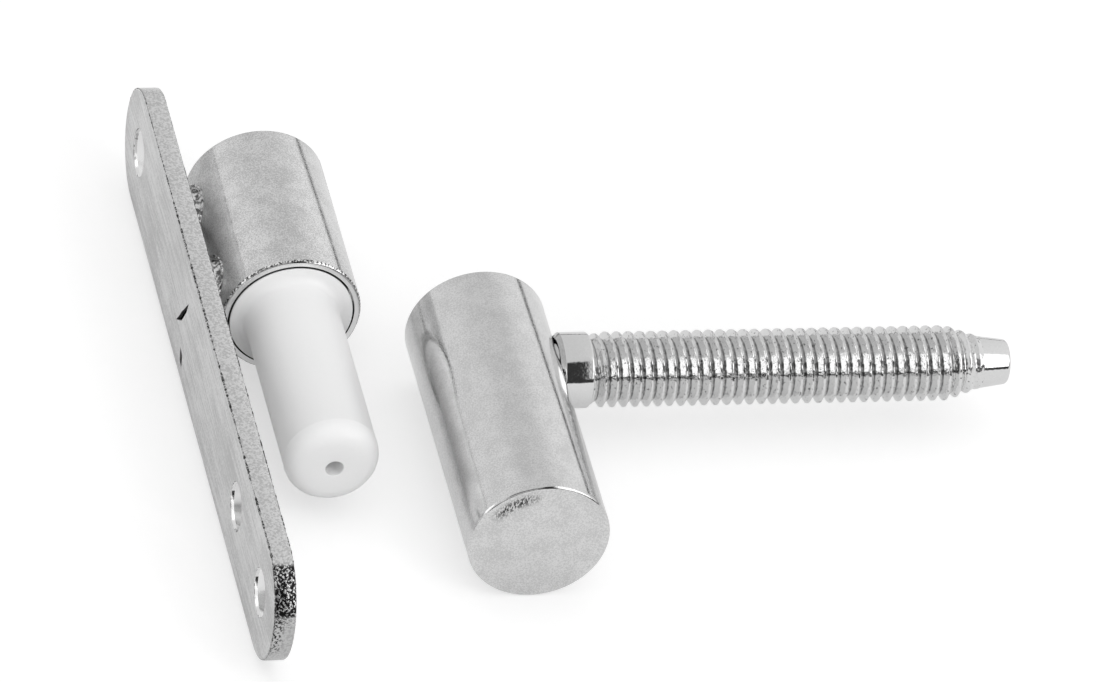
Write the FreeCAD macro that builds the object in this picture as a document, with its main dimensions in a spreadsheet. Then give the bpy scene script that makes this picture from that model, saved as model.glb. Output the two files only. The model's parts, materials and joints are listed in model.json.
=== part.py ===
# Drill-in hinge of the lift-off type, laid out in its two halves.
# The frame half is a screw-on plate with a barrel welded to it and a sleeved pin standing in the barrel.
# The door half is a barrel with a blind socket and a threaded stud in its side.
#
# Millimetres. The pin's axis is the Y axis, and the origin is the middle of the sleeve's bearing length.
# The pin points to -Y, the plate faces +X towards the barrel, and the stud points to +X.
# The halves lie side by side on their barrels, so +Z is up.
# Each piece of the frame half is drawn with the frame barrel's rim at Y = 0, then placed.

import FreeCAD, Part
import Sketcher
import os

# Driving dimensions

SIZES = [
    ("barrel_diameter", 15.0, "outside of both barrels"),
    ("edge_break", 0.35, "chamfer round the barrels' outer edges"),
    ("frame_barrel_length", 21.8, "frame barrel, rim to closed end"),
    ("plate_width", 13.2, "plate across, also the diameter of its round ends"),
    ("plate_thickness", 2.3, "plate"),
    ("plate_upper_reach", 34.4, "rim plane to the plate's upper end"),
    ("plate_lower_reach", 50.6, "rim plane to the plate's lower end"),
    ("plate_edge_break", 0.25, "chamfer round the plate's outline"),
    ("screw_hole_diameter", 5.2, "screw holes in the plate"),
    ("countersink_diameter", 9.0, "mouth of a screw hole on the barrel's side"),
    ("countersink_angle", 90.0, "full angle of the screw heads, in degrees"),
    ("screw_end_inset", 7.15, "plate's end to the nearest screw hole"),
    ("screw_pitch", 13.4, "between the two lower screw holes"),
    ("weld_gap", 1.7, "plate's face to the frame barrel"),
    ("weld_width", 5.8, "lumps of weld metal, along the barrel"),
    ("weld_height", 8.0, "lumps of weld metal, across the plate"),
    ("weld_first_reach", 3.4, "rim plane to the middle of the first weld"),
    ("weld_pitch", 12.1, "between the two welds"),
    ("pin_diameter", 7.0, "steel pin"),
    ("pin_seat_depth", 17.0, "steel pin inside the frame barrel"),
    ("pin_lead_in", 0.5, "chamfer at the steel pin's seated end"),
    ("sleeve_diameter", 10.0, "bearing surface of the sleeve"),
    ("sleeve_reach", 24.5, "rim plane to the sleeve's tip"),
    ("sleeve_tip_wall", 2.6, "sleeve's end beyond the steel pin"),
    ("sleeve_tip_round", 1.9, "rounding of the sleeve's tip"),
    ("sleeve_root_flare", 1.0, "cone between the sleeve and its collar"),
    ("vent_diameter", 1.9, "hole through the sleeve's tip"),
    ("rim_wall", 0.75, "frame barrel's wall round the collar"),
    ("collar_depth", 2.0, "collar below the rim plane"),
    ("collar_proud", 0.2, "collar above the rim plane"),
    ("collar_edge_break", 0.15, "chamfer round the collar's edge"),
    ("collar_land", 0.3, "least flat on the collar that carries the door barrel"),
    ("collar_clearance", 0.1, "collar to the wall of its recess"),
    ("door_barrel_length", 34.7, "door barrel, open end to closed end"),
    ("socket_clearance", 0.05, "sleeve to the wall of the socket"),
    ("socket_end_room", 1.2, "sleeve's tip to the bottom of the socket"),
    ("socket_mouth_room", 0.15, "mouth chamfer beyond the cone at the collar"),
    ("drill_point_depth", 3.0, "cone at the bottom of the socket"),
    ("stud_height", 7.6, "door barrel's open end to the stud's axis"),
    ("stud_seat_depth", 0.5, "flat on the door barrel under the stud"),
    ("stud_seat_margin", 0.1, "flat beyond the stud's shoulder"),
    ("tenon_diameter", 6.0, "stud's end in the barrel's wall"),
    ("tenon_room", 0.2, "tenon's end to the socket"),
    ("shoulder_diameter", 7.9, "plain length of the stud beside the barrel"),
    ("shoulder_edge_break", 0.45, "chamfer at the shoulder's barrel end"),
    ("shoulder_reach", 10.7, "door barrel's axis to the shoulder's end"),
    ("thread_diameter", 8.0, "thread, over its crests"),
    ("thread_fade_reach", 48.1, "door barrel's axis to where the thread begins to fade"),
    ("thread_end_reach", 51.3, "door barrel's axis to the end of the thread"),
    ("thread_end_diameter", 6.9, "over the last crest"),
    ("tip_root_diameter", 6.6, "plain tip, at the thread"),
    ("tip_end_diameter", 5.3, "plain tip, at its end"),
    ("tip_end_break", 0.9, "chamfer of the stud's end"),
    ("stud_reach", 56.4, "door barrel's axis to the stud's end"),
    ("door_side_step", 19.4, "pin's axis to the door barrel's axis, as laid out"),
    ("door_drop", 1.95, "rim plane to the door barrel's open end, as laid out"),
]

doc = FreeCAD.newDocument("drill_in_hinge")
sheet = doc.addObject("Spreadsheet::Sheet", "sizes")
for row, (alias, size, meaning) in enumerate(SIZES, start=1):
    sheet.set(f"A{row}", alias)
    sheet.set(f"B{row}", str(size))
    sheet.setAlias(f"B{row}", alias)
    sheet.set(f"C{row}", meaning)
doc.recompute()

# Places that more than one piece is built from

BARREL_RADIUS = "sizes.barrel_diameter / 2"
PLATE_FACE = "(sizes.barrel_diameter / 2 + sizes.weld_gap)"
PIN_RADIUS = "sizes.pin_diameter / 2"
PIN_TIP = "(sizes.sleeve_reach - sizes.sleeve_tip_wall)"
SLEEVE_RADIUS = "sizes.sleeve_diameter / 2"
RECESS_RADIUS = "(sizes.barrel_diameter / 2 - sizes.rim_wall)"
COLLAR_RADIUS = f"({RECESS_RADIUS} - sizes.collar_clearance)"
COLLAR_ROOM = f"({COLLAR_RADIUS} - {SLEEVE_RADIUS} - sizes.collar_edge_break - sizes.collar_land)"
ROOT_FLARE = f"min(sizes.sleeve_root_flare; {COLLAR_ROOM})"
SOCKET_RADIUS = "(sizes.sleeve_diameter / 2 + sizes.socket_clearance)"
SOCKET_DEPTH = "(sizes.sleeve_reach - sizes.collar_proud + sizes.socket_end_room)"
SEAT_REACH = "(sizes.barrel_diameter / 2 - sizes.stud_seat_depth)"
BEARING_START = f"(sizes.collar_proud + {ROOT_FLARE})"
BEARING_END = "(sizes.sleeve_reach - sizes.sleeve_tip_round)"
RIM = f"({BEARING_START} + {BEARING_END}) / 2"

ON_AXIS = "0"
FULL_TURN = 360
TOUCH = 1e-4


def number(expression):
    """The value of an expression of sheet cells."""
    return float(sheet.evalExpression(expression))


def new_body(label):
    """An empty body whose label names the piece."""
    body = doc.addObject("PartDesign::Body", label)
    body.Label = label
    return body


def flat_sketch(body, name, plane, offset=None):
    """A sketch on one of the body's own origin planes, lifted along the plane's normal."""
    sketch = body.newObject("Sketcher::SketchObject", name)
    support = next(item for item in body.Origin.OriginFeatures if item.Role == plane)
    sketch.AttachmentSupport = [(support, "")]
    sketch.MapMode = "FlatFace"
    if offset:
        sketch.setExpression("AttachmentOffset.Base.z", offset)
    doc.recompute()
    return sketch


def tie_point(sketch, geometry, point, across, along):
    """Hold a point of the sketch at the two expressions."""
    for kind, axis, place in (("DistanceX", -2, across), ("DistanceY", -1, along)):
        if place == ON_AXIS:
            sketch.addConstraint(Sketcher.Constraint("PointOnObject", geometry, point, axis))
            continue
        held = sketch.addConstraint(Sketcher.Constraint(kind, -1, 1, geometry, point, number(place)))
        sketch.setExpression(f"Constraints[{held}]", place)


def closed_outline(sketch, corners):
    """Straight lines from corner to corner, each corner held at its two expressions."""
    places = [FreeCAD.Vector(number(across), number(along), 0) for across, along in corners]
    count = len(corners)
    for index, place in enumerate(places):
        sketch.addGeometry(Part.LineSegment(place, places[(index + 1) % count]), False)
    for index, (across, along) in enumerate(corners):
        sketch.addConstraint(Sketcher.Constraint("Coincident", index, 2, (index + 1) % count, 1))
    for index, (across, along) in enumerate(corners):
        tie_point(sketch, index, 1, across, along)


def add_circle(sketch, across, along, diameter):
    """A circle whose centre and diameter follow expressions."""
    centre = FreeCAD.Vector(number(across), number(along), 0)
    circle = Part.Circle(centre, FreeCAD.Vector(0, 0, 1), number(diameter) / 2)
    geometry = sketch.addGeometry(circle, False)
    tie_point(sketch, geometry, 3, across, along)
    held = sketch.addConstraint(Sketcher.Constraint("Diameter", geometry, number(diameter)))
    sketch.setExpression(f"Constraints[{held}]", diameter)


def add_round_bar(sketch, start, end, radius):
    """A bar with full-round ends; both end centres and the radius follow expressions."""
    start_centre = FreeCAD.Vector(number(start[0]), number(start[1]), 0)
    end_centre = FreeCAD.Vector(number(end[0]), number(end[1]), 0)
    ahead = (end_centre - start_centre).normalize() * number(radius)
    aside = FreeCAD.Vector(ahead.y, -ahead.x, 0)
    sides = [
        Part.LineSegment(start_centre + aside, end_centre + aside),
        Part.Arc(end_centre + aside, end_centre + ahead, end_centre - aside),
        Part.LineSegment(end_centre - aside, start_centre - aside),
        Part.Arc(start_centre - aside, start_centre - ahead, start_centre + aside),
    ]
    first = sketch.GeometryCount
    for side in sides:
        sketch.addGeometry(side, False)
    for index in range(len(sides)):
        following = first + (index + 1) % len(sides)
        sketch.addConstraint(Sketcher.Constraint("Tangent", first + index, 2, following, 1))
    end_arc = first + 1
    start_arc = first + 3
    sketch.addConstraint(Sketcher.Constraint("Equal", end_arc, start_arc))
    held = sketch.addConstraint(Sketcher.Constraint("Radius", end_arc, number(radius)))
    sketch.setExpression(f"Constraints[{held}]", radius)
    tie_point(sketch, start_arc, 3, *start)
    tie_point(sketch, end_arc, 3, *end)


def turned(body, name, axis, corners):
    """A solid of revolution about one axis of its half section in the XY plane."""
    section = flat_sketch(body, name + "_section", "XY_Plane")
    closed_outline(section, corners)
    revolution = body.newObject("PartDesign::Revolution", name + "_turned")
    revolution.Profile = section
    revolution.ReferenceAxis = (section, [axis])
    revolution.Angle = FULL_TURN
    doc.recompute()
    return revolution


def ring_edges(feature, radius, place):
    """Names of the circular edges of that radius, at that place along the Y axis or the X axis."""
    names = []
    for index, edge in enumerate(feature.Shape.Edges, start=1):
        if not isinstance(edge.Curve, Part.Circle):
            continue
        centre = edge.Curve.Center
        along = centre.y if abs(edge.Curve.Axis.y) > abs(edge.Curve.Axis.x) else centre.x
        if abs(edge.Curve.Radius - number(radius)) < TOUCH and abs(along - number(place)) < TOUCH:
            names.append(f"Edge{index}")
    return names


def dressed(body, kind, name, feature, edges, size):
    """A Fillet or a Chamfer of the given size on the named edges."""
    dressing = body.newObject("PartDesign::" + kind, name)
    dressing.Base = (feature, edges)
    dressing.setExpression("Radius" if kind == "Fillet" else "Size", size)
    doc.recompute()
    return dressing


def pocket(body, name, sketch, length, outwards=False):
    """A cut from the sketch against its normal, or along it where it goes outwards."""
    cut = body.newObject("PartDesign::Pocket", name)
    cut.Profile = sketch
    cut.Type = "Length"
    cut.setExpression("Length", length)
    cut.Reversed = outwards
    doc.recompute()
    return cut


def place(piece, across=None, along=RIM):
    """Tie the piece's place on X and Y to expressions."""
    if across:
        piece.setExpression("Placement.Base.x", across)
    piece.setExpression("Placement.Base.y", along)


# Mounting plate: a flat bar with full-round ends and three countersunk screw holes.
# Its own frame has the back face at X = 0.

def make_mounting_plate():
    body = new_body("mounting_plate")
    outline = flat_sketch(body, "plate_outline", "YZ_Plane")
    upper_centre = ("sizes.plate_upper_reach - sizes.plate_width / 2", ON_AXIS)
    lower_centre = ("-(sizes.plate_lower_reach - sizes.plate_width / 2)", ON_AXIS)
    add_round_bar(outline, lower_centre, upper_centre, "sizes.plate_width / 2")

    blank = body.newObject("PartDesign::Pad", "plate_blank")
    blank.Profile = outline
    blank.setExpression("Length", "sizes.plate_thickness")
    doc.recompute()

    rims = [
        f"Edge{index}"
        for index, edge in enumerate(blank.Shape.Edges, start=1)
        if edge.BoundBox.XLength < TOUCH
    ]
    dressed(body, "Chamfer", "plate_edges", blank, rims, "sizes.plate_edge_break")

    screws = flat_sketch(body, "screw_places", "YZ_Plane", "sizes.plate_thickness")
    lowest = "sizes.plate_lower_reach - sizes.screw_end_inset"
    for along in (
        "sizes.plate_upper_reach - sizes.screw_end_inset",
        f"-({lowest} - sizes.screw_pitch)",
        f"-({lowest})",
    ):
        add_circle(screws, along, ON_AXIS, "sizes.screw_hole_diameter")
    doc.recompute()

    holes = body.newObject("PartDesign::Hole", "screw_holes")
    holes.Profile = screws
    doc.recompute()
    holes.DepthType = "ThroughAll"
    holes.HoleCutType = "Countersink"
    holes.HoleCutCustomValues = True
    holes.setExpression("Diameter", "sizes.screw_hole_diameter")
    holes.setExpression("HoleCutDiameter", "sizes.countersink_diameter")
    holes.setExpression("HoleCutCountersinkAngle", "sizes.countersink_angle")
    place(body, f"-({PLATE_FACE} + sizes.plate_thickness)")
    return body


# Weld nuggets: two oval lumps that fill the gap from the plate's face to the round of the barrel.

def make_weld_nuggets():
    body = new_body("weld_nuggets")
    body.AllowCompound = True
    ovals = flat_sketch(body, "weld_outlines", "YZ_Plane", f"-{PLATE_FACE}")
    rise = "(sizes.weld_height - sizes.weld_width) / 2"
    for along in ("sizes.weld_first_reach", "sizes.weld_first_reach + sizes.weld_pitch"):
        add_round_bar(ovals, (along, f"-{rise}"), (along, rise), "sizes.weld_width / 2")
    lumps = body.newObject("PartDesign::Pad", "weld_lumps")
    lumps.Profile = ovals
    lumps.setExpression("Length", PLATE_FACE)
    doc.recompute()

    barrel_round = flat_sketch(body, "barrel_round", "XZ_Plane")
    add_circle(barrel_round, ON_AXIS, ON_AXIS, "sizes.barrel_diameter")
    pocket(body, "barrel_hollow", barrel_round, "sizes.frame_barrel_length")
    place(body)
    return body


# Frame barrel: a closed rod with a recess for the collar and a seat for the steel pin.

def make_frame_barrel():
    body = new_body("frame_barrel")
    rod = turned(body, "frame_rod", "V_Axis", [
        (PIN_RADIUS, "sizes.collar_depth"),
        (RECESS_RADIUS, "sizes.collar_depth"),
        (RECESS_RADIUS, ON_AXIS),
        (BARREL_RADIUS, ON_AXIS),
        (BARREL_RADIUS, "sizes.frame_barrel_length"),
        (ON_AXIS, "sizes.frame_barrel_length"),
        (ON_AXIS, "sizes.pin_seat_depth"),
        (PIN_RADIUS, "sizes.pin_seat_depth"),
    ])
    edges = ring_edges(rod, BARREL_RADIUS, ON_AXIS)
    edges += ring_edges(rod, BARREL_RADIUS, "sizes.frame_barrel_length")
    dressed(body, "Chamfer", "frame_rod_edges", rod, edges, "sizes.edge_break")
    place(body)
    return body


# Hinge pin: a plain steel pin, seated in the frame barrel and covered by the sleeve.

def make_hinge_pin():
    body = new_body("hinge_pin")
    tip = f"-{PIN_TIP}"
    rod = turned(body, "pin_rod", "V_Axis", [
        (ON_AXIS, tip),
        (PIN_RADIUS, tip),
        (PIN_RADIUS, "sizes.pin_seat_depth"),
        (ON_AXIS, "sizes.pin_seat_depth"),
    ])
    seated_end = ring_edges(rod, PIN_RADIUS, "sizes.pin_seat_depth")
    dressed(body, "Chamfer", "pin_lead_in", rod, seated_end, "sizes.pin_lead_in")
    place(body)
    return body


# Bearing sleeve: a moulded cap over the pin, with a collar that carries the door half.

def make_bearing_sleeve():
    body = new_body("bearing_sleeve")
    tip = "-sizes.sleeve_reach"
    inner_tip = f"-{PIN_TIP}"
    collar_face = "-sizes.collar_proud"
    vent_radius = "sizes.vent_diameter / 2"
    moulding = turned(body, "sleeve", "V_Axis", [
        (PIN_RADIUS, "sizes.collar_depth"),
        (COLLAR_RADIUS, "sizes.collar_depth"),
        (COLLAR_RADIUS, collar_face),
        (SLEEVE_RADIUS, collar_face),
        (SLEEVE_RADIUS, tip),
        (vent_radius, tip),
        (vent_radius, inner_tip),
        (PIN_RADIUS, inner_tip),
    ])
    root = dressed(
        body, "Chamfer", "sleeve_root", moulding,
        ring_edges(moulding, SLEEVE_RADIUS, collar_face), ROOT_FLARE,
    )
    end = dressed(
        body, "Fillet", "sleeve_tip", root,
        ring_edges(root, SLEEVE_RADIUS, tip), "sizes.sleeve_tip_round",
    )
    dressed(
        body, "Chamfer", "collar_edge", end,
        ring_edges(end, COLLAR_RADIUS, collar_face), "sizes.collar_edge_break",
    )
    place(body)
    return body


# Door barrel: a closed rod with a drilled socket, and a flat and a hole in its side for the stud.
# Its own frame has the open end at Y = 0.

def make_door_barrel():
    body = new_body("door_barrel")
    closed_end = "-sizes.door_barrel_length"
    rod = turned(body, "door_rod", "V_Axis", [
        (SOCKET_RADIUS, ON_AXIS),
        (BARREL_RADIUS, ON_AXIS),
        (BARREL_RADIUS, closed_end),
        (ON_AXIS, closed_end),
        (ON_AXIS, f"-({SOCKET_DEPTH} + sizes.drill_point_depth)"),
        (SOCKET_RADIUS, f"-{SOCKET_DEPTH}"),
    ])
    rims = ring_edges(rod, BARREL_RADIUS, ON_AXIS) + ring_edges(rod, BARREL_RADIUS, closed_end)
    broken = dressed(body, "Chamfer", "door_rod_edges", rod, rims, "sizes.edge_break")
    dressed(
        body, "Chamfer", "socket_mouth", broken,
        ring_edges(broken, SOCKET_RADIUS, ON_AXIS), f"{ROOT_FLARE} + sizes.socket_mouth_room",
    )

    seat = flat_sketch(body, "stud_seat_outline", "YZ_Plane", SEAT_REACH)
    seat_diameter = "sizes.shoulder_diameter + 2 * sizes.stud_seat_margin"
    add_circle(seat, "-sizes.stud_height", ON_AXIS, seat_diameter)
    pocket(body, "stud_seat", seat, "sizes.stud_seat_depth", outwards=True)

    hole = flat_sketch(body, "tenon_hole_outline", "YZ_Plane", SEAT_REACH)
    add_circle(hole, "-sizes.stud_height", ON_AXIS, "sizes.tenon_diameter")
    pocket(body, "tenon_hole", hole, SEAT_REACH)
    place(body, "sizes.door_side_step", f"{RIM} - sizes.door_drop")
    return body


# Threaded stud: a turned rod with a tenon, a plain shoulder, the blank of its thread and a tapered tip.
# Its own frame has the door barrel's axis at X = 0.

def make_threaded_stud():
    body = new_body("threaded_stud")
    tenon_end = f"{SOCKET_RADIUS} + sizes.tenon_room"
    tenon_radius = "sizes.tenon_diameter / 2"
    shoulder_radius = "sizes.shoulder_diameter / 2"
    thread_radius = "sizes.thread_diameter / 2"
    tip_radius = "sizes.tip_end_diameter / 2"
    rod = turned(body, "stud_rod", "H_Axis", [
        (tenon_end, ON_AXIS),
        ("sizes.stud_reach", ON_AXIS),
        ("sizes.stud_reach", tip_radius),
        ("sizes.thread_end_reach", "sizes.tip_root_diameter / 2"),
        ("sizes.thread_end_reach", "sizes.thread_end_diameter / 2"),
        ("sizes.thread_fade_reach", thread_radius),
        ("sizes.shoulder_reach", thread_radius),
        ("sizes.shoulder_reach", shoulder_radius),
        (SEAT_REACH, shoulder_radius),
        (SEAT_REACH, tenon_radius),
        (tenon_end, tenon_radius),
    ])
    shoulder = dressed(
        body, "Chamfer", "shoulder_edge", rod,
        ring_edges(rod, shoulder_radius, SEAT_REACH), "sizes.shoulder_edge_break",
    )
    dressed(
        body, "Chamfer", "stud_end", shoulder,
        ring_edges(shoulder, tip_radius, "sizes.stud_reach"), "sizes.tip_end_break",
    )
    place(body, "sizes.door_side_step", f"{RIM} - sizes.door_drop - sizes.stud_height")
    return body


pieces = [
    make_mounting_plate(),
    make_weld_nuggets(),
    make_frame_barrel(),
    make_hinge_pin(),
    make_bearing_sleeve(),
    make_door_barrel(),
    make_threaded_stud(),
]
doc.recompute()

# Every object has to be sound before anything is written

for item in doc.Objects:
    if "Invalid" in item.State or "Error" in item.State:
        raise RuntimeError(f"{item.Label} failed: {item.State}")
for piece in pieces:
    if piece.Shape.isNull() or not piece.Shape.isValid():
        raise RuntimeError(f"{piece.Label} has no sound shape")

os.makedirs("parts", exist_ok=True)
for piece in pieces:
    piece.Shape.exportStep(f"parts/{piece.Label}.step")
    box = piece.Shape.optimalBoundingBox()
    print(
        f"{piece.Label}: {len(piece.Shape.Solids)} solid, {piece.Shape.Volume:.1f} mm3,"
        f" x {box.XMin:.2f} to {box.XMax:.2f}, y {box.YMin:.2f} to {box.YMax:.2f},"
        f" z {box.ZMin:.2f} to {box.ZMax:.2f}"
    )
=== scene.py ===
# %% [markdown]
# # A drill-in hinge on a pale table
# The hinge lies in its two halves. The frame half is a screw-on plate with a barrel welded to it and a
# white sleeve on its pin. The door half is a second barrel with a threaded stud in its side. The solids
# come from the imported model, and this lesson gives them their finish, part by part.

import json
import math

import bmesh
import bpy
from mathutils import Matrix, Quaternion, Vector


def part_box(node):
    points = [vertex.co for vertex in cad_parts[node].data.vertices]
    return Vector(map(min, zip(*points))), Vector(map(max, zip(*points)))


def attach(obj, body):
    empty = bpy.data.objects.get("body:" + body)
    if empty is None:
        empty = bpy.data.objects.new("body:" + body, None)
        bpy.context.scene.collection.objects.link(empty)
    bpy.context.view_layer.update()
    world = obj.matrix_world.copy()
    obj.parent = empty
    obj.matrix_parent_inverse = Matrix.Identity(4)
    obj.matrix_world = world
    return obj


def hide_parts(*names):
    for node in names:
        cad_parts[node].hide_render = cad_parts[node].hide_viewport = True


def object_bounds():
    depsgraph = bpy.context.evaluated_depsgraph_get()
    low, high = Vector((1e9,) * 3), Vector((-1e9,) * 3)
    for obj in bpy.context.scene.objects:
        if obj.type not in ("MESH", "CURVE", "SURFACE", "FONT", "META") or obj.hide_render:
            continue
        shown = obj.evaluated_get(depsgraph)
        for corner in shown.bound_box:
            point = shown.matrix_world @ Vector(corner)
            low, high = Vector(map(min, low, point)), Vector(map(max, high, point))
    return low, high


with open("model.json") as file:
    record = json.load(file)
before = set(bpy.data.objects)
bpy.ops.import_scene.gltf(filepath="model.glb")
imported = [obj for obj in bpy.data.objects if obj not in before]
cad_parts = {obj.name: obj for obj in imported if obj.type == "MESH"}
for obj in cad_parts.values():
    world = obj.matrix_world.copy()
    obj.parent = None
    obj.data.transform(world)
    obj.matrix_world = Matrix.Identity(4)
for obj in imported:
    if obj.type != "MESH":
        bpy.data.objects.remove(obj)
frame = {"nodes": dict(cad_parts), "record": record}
cad_low, cad_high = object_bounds()
mounts = {mount["name"]: mount for mount in frame["record"]["mounts"]}
scene = bpy.context.scene
MM = 0.001
print("CAD box in mm:", [round(size / MM, 2) for size in cad_high - cad_low])

# %% [markdown]
# ## Small tools for node trees
# Materials and Geometry Nodes are both trees of nodes. Clicking them together by hand is slow to repeat,
# so a few short functions do it. One adds any node, and the others are sums that come up again and again.

# %% Node helpers


def fill(tree, made, inputs):
    """Fill a node's sockets by name or number: link another node's output, or set a plain value."""
    for name, value in inputs.items():
        if isinstance(value, bpy.types.NodeSocket):
            tree.links.new(value, made.inputs[name])
        else:
            made.inputs[name].default_value = value


def node(tree, kind, inputs=None, **settings):
    """Add a node with its settings, and fill its sockets."""
    made = tree.nodes.new(kind)
    for setting, value in settings.items():
        setattr(made, setting, value)
    fill(tree, made, inputs or {})
    return made


def reckon(tree, operation, *values):
    """The result of one Math node."""
    return node(tree, "ShaderNodeMath", dict(enumerate(values)), operation=operation).outputs[0]


def minus(tree, first, second):
    return reckon(tree, "SUBTRACT", first, second)


def product(tree, first, *others):
    """Several values multiplied, such as masks that all have to hold."""
    for other in others:
        first = reckon(tree, "MULTIPLY", first, other)
    return first


def ramp(tree, value, start, end, low=0.0, high=1.0, kind="SMOOTHSTEP"):
    """A value eased from low to high while the input goes from start to end."""
    made = node(tree, "ShaderNodeMapRange", {
        "Value": value, "From Min": start, "From Max": end, "To Min": low, "To Max": high,
    }, interpolation_type=kind)
    return made.outputs["Result"]


def between(tree, value, start, end, edge):
    """1 where a value lies in a band from start to end, easing to 0 over the band's edge."""
    return product(tree, ramp(tree, value, start, start + edge), ramp(tree, value, end, end - edge))


def xyz(tree, vector):
    """The X, Y and Z of a vector."""
    return node(tree, "ShaderNodeSeparateXYZ", {0: vector}).outputs


print("node helpers ready")

# %% [markdown]
# ## What finishes are made of
# Every finish here starts from the same few observations: a fine grain, long drawn streaks, and blotches
# that change the gloss. Each is a noise texture on Object coordinates, so it stays fixed to the piece from
# any side. A look is a function that works out the shader's sockets.

# %% Finish helpers
MIX_FIRST = 6
MIX_SECOND = 7
MIX_RESULT = 2


def object_place(tree):
    """The point that is shaded, in metres."""
    return node(tree, "ShaderNodeTexCoord").outputs["Object"]


def grain(tree, size, stretch=(1, 1, 1), shift=(0, 0, 0), detail=3.0):
    """Noise with features of a given size in metres, stretched along the axes."""
    scale = tuple(1 / (size * part) for part in stretch)
    mapping = {"Vector": object_place(tree), "Location": shift, "Scale": scale}
    spot = node(tree, "ShaderNodeMapping", mapping).outputs[0]
    noise = node(tree, "ShaderNodeTexNoise", {"Vector": spot, "Scale": 1.0, "Detail": detail})
    return noise.outputs["Fac"]


def blend(tree, share, *greys):
    """A grey between two greys, each a plain number or another node's colour."""
    first, second = [(grey, grey, grey, 1) if isinstance(grey, float) else grey for grey in greys]
    mix = {"Factor": share, MIX_FIRST: first, MIX_SECOND: second}
    return node(tree, "ShaderNodeMix", mix, data_type="RGBA").outputs[MIX_RESULT]


def dented(tree, height, depth, under=None):
    """A normal from a height, whose full range is a depth in metres."""
    made = node(tree, "ShaderNodeBump", {"Height": height, "Distance": depth})
    if under:
        fill(tree, made, {"Normal": under})
    return made.outputs["Normal"]


def apart(tree, first, second):
    """How far two sideways distances lead together."""
    squares = [product(tree, side, side) for side in (first, second)]
    return reckon(tree, "SQRT", reckon(tree, "ADD", *squares))


def around(middle, spread):
    """The ends of a range that goes a share of its middle to either side."""
    return middle * (1 - spread), middle * (1 + spread)


def finish(name, look, **traits):
    """A material whose shader's sockets come from a look; it is metal unless the look says otherwise."""
    material = bpy.data.materials.new(name)
    material.use_nodes = True
    tree = material.node_tree
    fill(tree, tree.nodes["Principled BSDF"], {"Metallic": 1.0, **look(tree, **traits)})
    print("made", name, "with", len(tree.nodes), "nodes")
    return material


print("finish helpers ready")

# %% [markdown]
# ## Wear and painted light on the barrels
# Both barrels carry marks of use and making. They could be painted on a picture and wrapped round the
# piece. Here each mark is worked out from where a point lies, which needs no unwrapping and stays sharp at
# any size. The door barrel has a patch of dark scratches near the edge of its cap.

# %% Scuffs on the cap
door_low, door_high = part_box("door_barrel")
DOOR_AXIS_X = (door_low.x + door_high.x) / 2
CAP_SKIN = (0.3 * MM, 0.1 * MM)
SCUFFED_RADII = (5.0 * MM, 7.2 * MM, 1.0 * MM)
SCUFFED_ANGLES = (-1.15, 0.0, 0.4)
SCUFFS = dict(size=0.13 * MM, stretch=(1, 1, 2.2), detail=2.0)
SCUFF_RANGE = (0.44, 0.54)
SCUFF_GREY = 0.06
SCUFF_DEPTH = 0.04 * MM


def scuffed_cap(tree, zinc, dull, skin):
    """Scratches near the edge of the door barrel's cap, on its upper left."""
    place = xyz(tree, object_place(tree))
    across = minus(tree, place["X"], DOOR_AXIS_X)
    turned_by = reckon(tree, "ARCTAN2", across, place["Z"])
    near_edge = between(tree, apart(tree, across, place["Z"]), *SCUFFED_RADII)
    upper_left = between(tree, turned_by, *SCUFFED_ANGLES)
    on_cap = ramp(tree, minus(tree, place["Y"], door_low.y), *CAP_SKIN)
    scratches = ramp(tree, grain(tree, **SCUFFS), *SCUFF_RANGE)
    scuffs = product(tree, near_edge, upper_left, on_cap, scratches)
    return blend(tree, scuffs, zinc, SCUFF_GREY), dull, dented(tree, scuffs, SCUFF_DEPTH, skin)


print("scuffs lie", [round(radius / MM, 1) for radius in SCUFFED_RADII[:2]], "mm from the cap's middle")

# %% [markdown]
# On the frame barrel, heat has dulled the zinc beside the welds. A narrow band along the rim's rounded edge
# carries flecks of painted shade and painted highlight, and the rim's face is a painted highlight.

# %% Heat by the welds, painted light on the rim
barrel_low, barrel_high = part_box("frame_barrel")
HEATED = (-5.3 * MM, -6.2 * MM)
HEATED_DULLNESS = 0.42
RIM_FLECK_GRAIN = dict(size=0.22 * MM)
RIM_FLECK_RANGE = (0.44, 0.56)
RIM_EDGE_LIGHT_BAND = (0.02 * MM, 0.38 * MM, 0.1 * MM)
RIM_EDGE_SHADE_AND_HIGHLIGHT_GREYS = (0.08, 0.9)
RIM_SKIN = (0.03 * MM, 0.01 * MM)
RIM_FACE_HIGHLIGHT_GREY = 0.85


def rim_dulling_and_painted_light(tree, zinc, dull, skin):
    """Zinc dulled by the welds, with painted highlight and shade: flecks on the rim's edge, and its pale
    face.
    """
    place = xyz(tree, object_place(tree))
    dull = ramp(tree, place["X"], *HEATED, dull, HEATED_DULLNESS)
    above_rim = minus(tree, place["Y"], barrel_low.y)
    painted_edge_light = ramp(tree, grain(tree, **RIM_FLECK_GRAIN), *RIM_FLECK_RANGE)
    on_edge = between(tree, above_rim, *RIM_EDGE_LIGHT_BAND)
    # Painted highlight and shade: bright and dark flecks in a narrow band along the rim's rounded edge.
    zinc = blend(tree, on_edge, zinc, blend(tree, painted_edge_light, *RIM_EDGE_SHADE_AND_HIGHLIGHT_GREYS))
    # Painted highlight: the rim's face is painted pale.
    return blend(tree, ramp(tree, above_rim, *RIM_SKIN), zinc, RIM_FACE_HIGHLIGHT_GREY), dull, skin


print("chatter marks reach", round(RIM_EDGE_LIGHT_BAND[1] / MM, 2), "mm up from the rim")
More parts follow.
